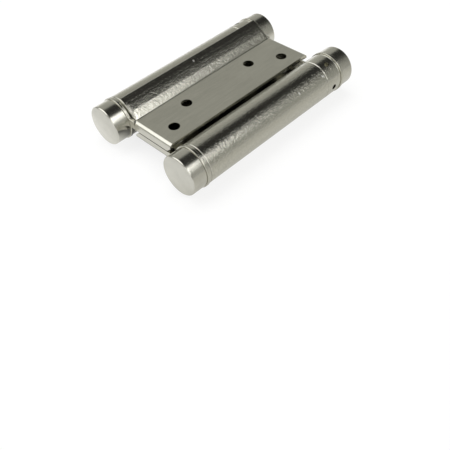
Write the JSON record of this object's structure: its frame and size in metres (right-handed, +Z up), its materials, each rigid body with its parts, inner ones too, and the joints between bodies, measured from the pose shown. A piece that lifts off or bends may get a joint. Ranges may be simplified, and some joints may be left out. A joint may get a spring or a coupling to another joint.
{
  "type": "double action hinge",
  "caption": "Sprung hinge for a swing door: two leaves fold over a centre web between two barrels with springs, adjusting collars and capped ends.",
  "frame": {"origin": "centre of the folded hinge, on the centre web's middle plane, halfway between the two barrel axes", "axes": "+X across the barrels from the upper leaf's barrel to the lower leaf's, +Y along the barrels towards the adjusting collars, +Z up out of the upper leaf's outer face"},
  "size_m": [0.0948, 0.147, 0.0306],
  "materials": {
    "plated_sheet": "bright plated sheet steel",
    "collar_steel": "plated turned steel",
    "cap_steel": "satin plated steel",
    "washer_steel": "plated steel",
    "bright_steel": "bright turned steel",
    "spring_steel": "oiled spring steel"
  },
  "bodies": {
    "web": {"centre_web": "plated_sheet", "left_anchor_plug": "bright_steel", "right_anchor_plug": "bright_steel", "left_torsion_spring": "spring_steel", "right_torsion_spring": "spring_steel"},
    "upper_leaf": {"upper_leaf": "plated_sheet", "left_spindle": "bright_steel", "left_front_washer": "washer_steel", "left_rear_washer": "washer_steel", "left_front_hub": "bright_steel", "left_rear_hub": "bright_steel", "left_front_cap": "cap_steel", "left_rear_cap": "cap_steel"},
    "lower_leaf": {"lower_leaf": "plated_sheet", "right_spindle": "bright_steel", "right_front_washer": "washer_steel", "right_rear_washer": "washer_steel", "right_front_hub": "bright_steel", "right_rear_hub": "bright_steel", "right_front_cap": "cap_steel", "right_rear_cap": "cap_steel"},
    "left_collar": {"left_adjusting_collar": "collar_steel"},
    "right_collar": {"right_adjusting_collar": "collar_steel"}
  },
  "joints": [
    {"name": "upper_leaf_swing", "type": "hinge", "parent": "web", "child": "upper_leaf", "pos_m": [-0.03375, 0, 0], "axis": [0, -1, 0], "range_deg": [0, 180], "stiffness_Nm_per_rad": 4.9, "springref_deg": -11.46, "deforming": ["left_torsion_spring"]},
    {"name": "left_collar_turn", "type": "hinge", "parent": "upper_leaf", "child": "left_collar", "pos_m": [-0.03375, 0, 0], "axis": [0, -1, 0], "range_deg": [0, 216]},
    {"name": "lower_leaf_swing", "type": "hinge", "parent": "web", "child": "lower_leaf", "pos_m": [0.03375, 0, 0], "axis": [0, -1, 0], "range_deg": [0, 180], "stiffness_Nm_per_rad": 4.9, "springref_deg": -11.46, "deforming": ["right_torsion_spring"]},
    {"name": "right_collar_turn", "type": "hinge", "parent": "lower_leaf", "child": "right_collar", "pos_m": [0.03375, 0, 0], "axis": [0, -1, 0], "range_deg": [0, 216]}
  ]
}
